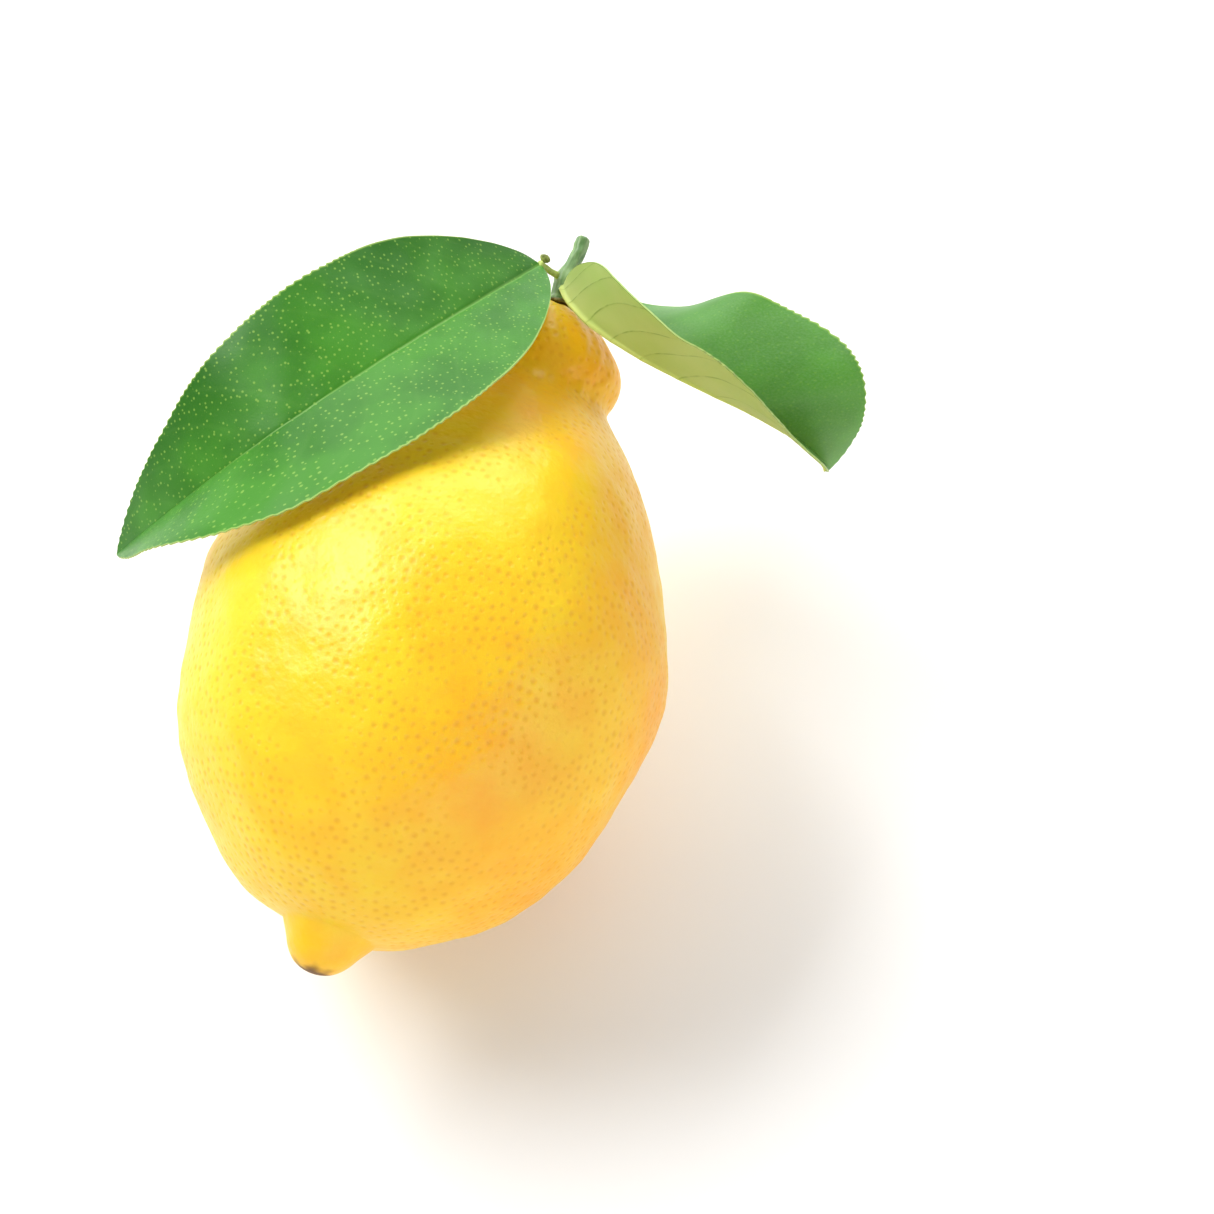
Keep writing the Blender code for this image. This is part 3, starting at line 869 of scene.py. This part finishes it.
def keep_clear(points):
    """Moves points out, so that they stand off the peel by the clearance."""
    x, along, rise = points[..., 0], points[..., 1], points[..., 2]
    middle = axis_sidestep(along)
    distance = np.hypot(x - middle, rise)
    past_end = np.clip((along - FRUIT_LENGTH) / PEEL_CLEARANCE, 0, 1)
    least = (peel_radius(np.clip(along, 0, FRUIT_LENGTH)) + PEEL_CLEARANCE) * (1 - past_end)
    factor = np.where(past_end < 1, soft_floor(distance, least) / distance, 1)
    return np.stack([middle + (x - middle) * factor, along, rise * factor], axis=-1)


# %% Teeth, veins and thickness
TOOTH_SPACING = 0.00125
TOOTH_DEPTH = 0.00030
VEIN_PAIRS = 11
BASE_WIDTH = 0.0005
TIP_WIDTH = 0.00015
BLADE_THICKNESS = 0.00040
RIM_THICKNESS = 0.00022
MIDRIB_RADIUS = 0.00055
GROOVE_DEPTH = 0.00012
VEIN_DEPTH = 0.000008
VEIN_HEIGHT = 0.00003
WAVE_HEIGHT, WAVE_SIZE = 0.00016, 0.018
CRINKLE_HEIGHT, CRINKLE_SIZE = 0.00003, 0.006
LEAF_ROWS, LEAF_COLUMNS = 420, 56


def vein_coordinate(share, across):
    """The share at which the side vein through this spot leaves the midrib; veins run out and forward."""
    out = np.abs(across)
    return share - 0.085 * out - 0.075 * out**2


def vein_nearness(share, across):
    """1 on a side vein and 0 midway between two."""
    phase = np.mod(vein_coordinate(share, across) * VEIN_PAIRS, 1)
    return np.exp(-((np.minimum(phase, 1 - phase) / 0.10) ** 2))


def tooth_cut(leaf, share, length):
    """How deep the margin is cut in: a saw whose teeth lean towards the tip, on the outer part only."""
    phase = np.mod(share * length / TOOTH_SPACING + 0.35 * np.sin(37 * share), 1)
    saw = np.where(phase < 0.75, 1 - phase / 0.75, (phase - 0.75) / 0.25)
    return TOOTH_DEPTH * saw * ease(leaf["toothed_from"], leaf["toothed_from"] + 0.1, share)


def blade_points(leaf, share, across):
    """The middle surface: midrib, plus the half's direction times the half width at this share."""
    length = midrib_steps(leaf["midrib"]).sum()
    width = np.maximum(blade_half_width(leaf, share), BASE_WIDTH + (TIP_WIDTH - BASE_WIDTH) * share)
    width = width - tooth_cut(leaf, share, length) * np.abs(across) ** 10
    midrib = along_handles(from_stem_end(leaf["midrib"]), even_shares(leaf["midrib"], share))
    inner = blade_direction(leaf["inner_half"], share)
    outer = blade_direction(leaf["outer_half"], share)
    direction = np.where(across[..., None] > 0, inner, outer)
    points = to_world(keep_clear(midrib + direction * (width * np.abs(across))[..., None]))
    points[..., 2] = soft_floor(points[..., 2], FLOOR_CLEARANCE)
    return points


def blade_normal(points):
    """The direction of the leaf's upper side: the cross product of steps along and across the grid."""
    return unit(np.cross(np.gradient(points, axis=0), np.gradient(points, axis=1)))


# %% Build the leaves
def blade_grid():
    """Shares from base to tip, and places across from -1 to 1 that crowd at the margins and the midrib."""
    even = np.linspace(-1, 1, LEAF_COLUMNS + 1)
    across = even - 0.10 * np.sin(2 * np.pi * even)
    return np.meshgrid(np.linspace(0, 1, LEAF_ROWS), across, indexing="ij")


def relief(leaf, across, points):
    """Height over the middle surface: soft waves that grow towards the margin, and finer crinkles."""
    waves = WAVE_HEIGHT * np.abs(across) ** 2 * wavy(points, WAVE_SIZE, seed=leaf["seed"])
    return waves + CRINKLE_HEIGHT * wavy(points, CRINKLE_SIZE, seed=leaf["seed"] + 1)


def blade_sides(leaf, share, across):
    """(upper, lower) surfaces: veins are grooves above and ridges below; the midrib is a round cord."""
    points = blade_points(leaf, share, across)
    normal = blade_normal(points)
    points = points + normal * relief(leaf, across, points)[..., None]
    width = np.maximum(blade_half_width(leaf, share), BASE_WIDTH)
    from_midrib = np.abs(across) * width
    cord = MIDRIB_RADIUS * (1 - 0.75 * share)
    rib = np.exp(-((from_midrib / cord) ** 2))
    vein = vein_nearness(share, across) * (1 - np.abs(across) ** 3) * ease(0, 0.002, width - 0.002)
    half = (RIM_THICKNESS + (BLADE_THICKNESS - RIM_THICKNESS) * (1 - np.abs(across) ** 4)) / 2
    above = half - GROOVE_DEPTH * rib * (1 - share) - VEIN_DEPTH * vein
    below = half + 0.9 * cord * rib + VEIN_HEIGHT * vein
    return points + normal * above[..., None], points - normal * below[..., None]


def leaf_faces(rows, columns):
    """Quads of the upper side, the lower side and the rim, and the material number of each."""
    shift = rows * columns
    upper = np.arange(shift).reshape(rows, columns)
    corners = [upper[:-1, :-1], upper[1:, :-1], upper[1:, 1:], upper[:-1, 1:]]
    top = np.stack(corners, axis=-1).reshape(-1, 4)
    bottom = (top + shift)[:, ::-1]
    loop = np.concatenate([upper[:, 0], upper[-1, 1:], upper[-2::-1, -1], upper[0, -2:0:-1]])
    following = np.roll(loop, -1)
    rim = np.stack([following, loop, loop + shift, following + shift], axis=-1)
    kinds = np.concatenate([np.zeros(len(top)), np.ones(len(bottom)), np.full(len(rim), 2)])
    return np.concatenate([top, bottom, rim]), kinds.astype(np.int32)


def give_uv(piece, name, u, v):
    """A UV map from one pair of numbers for each point."""
    corners = np.empty(len(piece.data.loops), np.int32)
    piece.data.loops.foreach_get("vertex_index", corners)
    layer = piece.data.uv_layers.new(name=name)
    layer.data.foreach_set("uv", np.stack([u, v], axis=-1)[corners].astype(np.float32).ravel())


FLAT_SPAN = 0.1   # the length that a whole unit of the flat UV map stands for


def build_leaf(name, leaf):
    """Upper side, lower side and rim as one closed mesh, with a flat UV map and a vein UV map."""
    share, across = blade_grid()
    points = np.stack(blade_sides(leaf, share, across)).reshape(-1, 3)
    faces, kinds = leaf_faces(*share.shape)
    piece = put_in_scene(name, points, faces.tolist())
    piece.data.polygons.foreach_set("material_index", kinds)
    length = midrib_steps(leaf["midrib"]).sum()
    u = np.tile(share.ravel(), 2)
    side = np.tile(across.ravel(), 2)
    width = blade_half_width(leaf, u)
    give_uv(piece, "flat", u * length / FLAT_SPAN, 0.5 + side * width / FLAT_SPAN)
    lag = vein_coordinate(u, side) + 0.004 * np.sin(23 * u + 5 * side)
    give_uv(piece, "veins", lag, (1 + side) / 2)
    piece.data.set_sharp_from_angle(angle=math.radians(60))
    full_width = 2 * leaf["half_width"]
    print(f"{name}: {1000 * length:.0f} by {1000 * full_width:.0f} mm, {2 * len(faces)} triangles")
    return piece


left_leaf = build_leaf("left_leaf_blade", LEFT_LEAF)
right_leaf = build_leaf("right_leaf_blade", RIGHT_LEAF)

# %% [markdown]
# ## The leaves' finishes
#
# The upper side is glossy deep green and sprinkled with pale oil dots, which show as tiny windows in the
# blade; the midrib and the side veins are a little lighter, and painted shade darkens one half towards
# its margin. The underside is matt and light green, with thin darker veins. The dots are a cell pattern
# on a UV map that is true to length, so that they stay round, and the veins follow a UV map whose first
# number is constant along each vein. The right leaf is younger and thinner: it lets more light through,
# has a milky sheen painted into its colour and shows hardly any dots.

# %% Leaf colours
UPPER_GREEN = (0.026, 0.160, 0.006)
UPPER_LIGHT = (0.048, 0.230, 0.013)
DOT_GREEN = (0.26, 0.46, 0.07)
RIB_GREEN = (0.17, 0.38, 0.07)
# painted shade: the darker green laid on one half of the blade towards its margin
PAINTED_SHADE_GREEN = (0.007, 0.085, 0.003)
# painted sheen: a milky green that stands for the sheen of the leaves
PAINTED_SHEEN_GREEN = (0.19, 0.34, 0.16)
UNDER_GREEN = (0.71, 0.86, 0.27)
UNDER_LIGHT = (0.79, 0.90, 0.33)
UNDER_VEIN = (0.20, 0.36, 0.06)
RIM_GREEN = (0.30, 0.46, 0.10)
RIM_DARK, RIM_LIGHT = (0.20, 0.36, 0.06), (0.42, 0.50, 0.15)
GLOW_ABOVE = (0.45, 0.80, 0.15)
GLOW_BELOW = (0.90, 0.92, 0.30)
DOTS_TO_SPAN = 98.0
SHEEN_SCALE = 300.0
LEAF_BUMP = 0.00010


# %% Leaf materials
def uv(tree, name):
    """Reads one of the leaf's UV maps."""
    made = tree.nodes.new("ShaderNodeUVMap")
    made.uv_map = name
    return made.outputs["UV"]


def vein_masks(tree, vein_width):
    """(side vein, midrib, margin) masks and the place across, from the two UV maps."""
    veins = add_node(tree, "ShaderNodeSeparateXYZ", {"Vector": uv(tree, "veins")}).outputs
    flat = add_node(tree, "ShaderNodeSeparateXYZ", {"Vector": uv(tree, "flat")}).outputs
    phase = calculate(tree, "PINGPONG", times(tree, veins["X"], float(VEIN_PAIRS)), 0.5)
    vein = remap(tree, phase, 0.0, vein_width, 1.0, 0.0)
    off_rib = calculate(tree, "ABSOLUTE", minus(tree, flat["Y"], 0.5))
    taper = remap(tree, flat["X"], 0.0, 0.85, 0.0042, 0.0010)
    rib = remap(tree, calculate(tree, "DIVIDE", off_rib, taper), 0.35, 1.0, 1.0, 0.0)
    margin = remap(tree, calculate(tree, "ABSOLUTE", minus(tree, veins["Y"], 0.5)), 0.488, 0.499)
    return vein, rib, margin, veins["Y"]


def add_glow(tree, shader, colour, share):
    """Mixes in a translucent share, so that light from behind shines through the blade."""
    glow = add_node(tree, "ShaderNodeBsdfTranslucent", {"Color": (*colour, 1)}).outputs["BSDF"]
    mixed = add_node(tree, "ShaderNodeMixShader", {0: share, 1: shader.outputs["BSDF"], 2: glow})
    tree.links.new(mixed.outputs["Shader"], tree.nodes["Material Output"].inputs["Surface"])


def oil_dots(tree, flat, strength):
    """A mask of round dots: one in each cell, with the cell's own size and strength."""
    inputs = {"Vector": flat, "Scale": DOTS_TO_SPAN}
    cells = add_node(tree, "ShaderNodeTexVoronoi", inputs, voronoi_dimensions="2D").outputs
    chance = add_node(tree, "ShaderNodeSeparateColor", {"Color": cells["Color"]}).outputs[0]
    size = remap(tree, chance, 0, 1, 0.09, 0.24)
    dot = remap(tree, calculate(tree, "DIVIDE", cells["Distance"], size), 0.4, 1.0, 1.0, 0.0)
    return times(tree, dot, remap(tree, chance, 0.1, 0.6, 0.12 * strength, 0.60 * strength))


def upper_material(name, glow, painted_sheen_share, dots):
    """Deep green, darkened by painted shade towards one margin, under a painted milky sheen, with paler
    veins, dots and midrib.
    """
    material, tree, shader = start_material(name, 0.42, Specular_IOR_Level=0.25)
    flat = uv(tree, "flat")
    vein, rib, margin, side = vein_masks(tree, 0.10)
    dot = oil_dots(tree, flat, dots)
    patches = noise(tree, flat, 9.0, 4.0)
    fine = noise(tree, flat, SHEEN_SCALE)
    # painted sheen: a milky whitening for sheen, strong on the right leaf and faint on the left
    painted_sheen = remap(tree, fine, 0.3, 0.75, 0.6 * painted_sheen_share, 1.4 * painted_sheen_share)
    green = blend_colours(tree, remap(tree, patches, 0.35, 0.65), UPPER_GREEN, UPPER_LIGHT)
    # painted shade: darkens the outer half of the blade towards its margin
    green = blend_colours(tree, remap(tree, side, 0.30, 0.0, 0.0, 0.40), green, PAINTED_SHADE_GREEN)
    # painted sheen mixed into the green
    green = blend_colours(tree, painted_sheen, green, PAINTED_SHEEN_GREEN)
    green = blend_colours(tree, times(tree, vein, 0.05), green, RIB_GREEN)
    green = blend_colours(tree, dot, green, DOT_GREEN)
    green = blend_colours(tree, times(tree, rib, 0.6), green, RIB_GREEN)
    green = blend_colours(tree, margin, green, RIM_GREEN)
    paint(tree, shader, green, remap(tree, fine, 0.3, 0.7, 0.36, 0.48))
    raised = minus(tree, times(tree, fine, 0.5), times(tree, vein, 0.08))
    bump(tree, shader, plus(tree, raised, times(tree, dot, 0.3)), 0.35, LEAF_BUMP)
    add_glow(tree, shader, GLOW_ABOVE, glow)
    return material


def under_material(name, glow):
    """Light matt green with thin, broken, darker veins and a paler midrib."""
    material, tree, shader = start_material(name, 0.55)
    flat = uv(tree, "flat")
    vein, rib, margin, _ = vein_masks(tree, 0.045)
    patches = noise(tree, flat, 12.0, 4.0)
    fine = noise(tree, flat, SHEEN_SCALE)
    broken = times(tree, vein, remap(tree, noise(tree, flat, 40.0, 2.0), 0.35, 0.60, 0.15, 0.75))
    green = blend_colours(tree, remap(tree, patches, 0.35, 0.65), UNDER_GREEN, UNDER_LIGHT)
    green = blend_colours(tree, broken, green, UNDER_VEIN)
    green = blend_colours(tree, times(tree, rib, 0.6), green, UNDER_LIGHT)
    green = blend_colours(tree, margin, green, RIM_GREEN)
    paint(tree, shader, green, remap(tree, fine, 0.3, 0.7, 0.50, 0.62))
    bump(tree, shader, plus(tree, fine, vein), 0.3, LEAF_BUMP)
    add_glow(tree, shader, GLOW_BELOW, glow)
    return material


def rim_material():
    """Two pale greens mixed by a noise along the rim."""
    material, tree, shader = start_material("pale_leaf_rim", 0.5)
    along_rim = noise(tree, uv(tree, "flat"), 120.0)
    paint(tree, shader, blend_colours(tree, along_rim, RIM_DARK, RIM_LIGHT))
    bump(tree, shader, along_rim, 0.4, LEAF_BUMP)
    return material


LEAF_FINISHES = (
    # leaf, name, glow of the upper side, glow of the underside, painted sheen, strength of the dots
    (left_leaf, "old_leaf", 0.05, 0.10, 0.02, 1.0),
    (right_leaf, "young_leaf", 0.10, 0.50, 0.24, 0.30),
)
rim_finish = rim_material()
for leaf_piece, kind, glow_above, glow_below, painted_sheen_share, dots in LEAF_FINISHES:
    leaf_piece.data.materials.append(upper_material(kind + "_gloss", glow_above, painted_sheen_share, dots))
    leaf_piece.data.materials.append(under_material(kind + "_underside", glow_below))
    leaf_piece.data.materials.append(rim_finish)

# %% [markdown]
# ## Tie the pieces to the frame
#
# Every fine piece stands for one imported solid and moves with its body. A lemon has no joints, so there is
# one body: each piece is parented to it, and the solid it stands for is hidden.

# %% Ride and replace
PIECES = (
    (fruit, "fruit", "peel"),
    (calyx, "calyx", "calyx_skin"),
    (stem, "stem", "stem_bark"),
    (left_petiole, "left_petiole", "petiole_skin"),
    (bud, "left_bud", "bud_scale"),
    (left_leaf, "left_leaf", "leaf_green"),
    (right_petiole, "right_petiole", "petiole_skin"),
    (right_leaf, "right_leaf", "leaf_green"),
)
for piece, packed_node, slot in PIECES:
    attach(piece, "root")
    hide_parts(packed_node)
    print(f"{piece.name} stands for {packed_node}")

# %% [markdown]
# ## Floor, light and camera
#
# The lemon lies on a plain pale floor in soft daylight. A window high on the left lays the wide broken
# highlight on the peel, a large one behind gives the leaves their sheen, one on the right and a faint one
# in front lift the shadows, and the room is bright all round. Small lamps would give hard spots, so all
# four are area lights.

# %% Stage
CENTRE = (fruit_low + fruit_high) / 2
FLOOR_SIDE = 6.0
FLOOR_PAINT = (0.93, 0.93, 0.92, 1)
ROOM_STRENGTH = 0.33
WINDOWS = (
    # name, direction from the object's middle, distance, width and height in metres, watts
    ("window_left", (-0.65, 0.13, 0.68), 0.8, 0.50, 0.34, 6.1),
    ("window_right", (0.82, -0.44, 0.38), 1.1, 1.60, 0.80, 8.0),
    ("window_behind", (-0.32, 0.84, 0.44), 1.1, 1.4, 0.7, 12.0),
    ("window_front", (0.00, -0.96, 0.28), 1.1, 1.2, 0.5, 2.0),
)


def make_floor():
    """A square about the origin, of one face."""
    half = FLOOR_SIDE / 2
    corners = np.array([[-half, -half, 0], [half, -half, 0], [half, half, 0], [-half, half, 0]])
    floor = put_in_scene("pale_floor", corners, [[0, 1, 2, 3]])
    material, _, _ = start_material("pale_floor_paint", 0.6, Base_Color=FLOOR_PAINT)
    floor.data.materials.append(material)


def make_window(name, direction, distance, width, height, watts):
    """An area light that faces the object's middle from the given direction."""
    data = bpy.data.lights.new(name, "AREA")
    data.shape = "RECTANGLE"
    data.size, data.size_y, data.energy = width, height, watts
    lamp = bpy.data.objects.new(name, data)
    towards = Vector(direction).normalized()
    lamp.location = CENTRE + towards * distance
    lamp.rotation_euler = towards.to_track_quat("Z", "Y").to_euler()
    bpy.context.scene.collection.objects.link(lamp)


def make_room():
    """A plain white surrounding."""
    world = bpy.data.worlds.new("bright_room")
    world.use_nodes = True
    background = world.node_tree.nodes["Background"].inputs
    background["Color"].default_value = (1.0, 1.0, 1.0, 1)
    background["Strength"].default_value = ROOM_STRENGTH
    bpy.context.scene.world = world


make_floor()
make_room()
for window in WINDOWS:
    make_window(*window)
bpy.context.scene.view_settings.view_transform = "Standard"

# %% Camera
CAMERA_AZIMUTH = math.radians(18.503)
CAMERA_ELEVATION = math.radians(67.0)
CAMERA_DISTANCE = 0.466
AIM_OFF_CENTRE = Vector((0.02126, 0.01002, 0.00218))   # the leaves hang to one side, so the aim does too


def make_camera():
    """Looks down at the object from above the nipple's side, at the given angle and distance."""
    back = Vector((
        math.sin(CAMERA_AZIMUTH) * math.cos(CAMERA_ELEVATION),
        -math.cos(CAMERA_AZIMUTH) * math.cos(CAMERA_ELEVATION),
        math.sin(CAMERA_ELEVATION),
    ))
    data = bpy.data.cameras.new("camera")
    data.lens, data.sensor_width = 100, 36
    camera = bpy.data.objects.new("camera", data)
    camera.location = CENTRE + AIM_OFF_CENTRE + back * CAMERA_DISTANCE
    camera.rotation_euler = (math.pi / 2 - CAMERA_ELEVATION, 0, CAMERA_AZIMUTH)
    bpy.context.scene.collection.objects.link(camera)
    bpy.context.scene.camera = camera
    print("camera at", [round(1000 * value, 2) for value in camera.location], "mm")


make_camera()
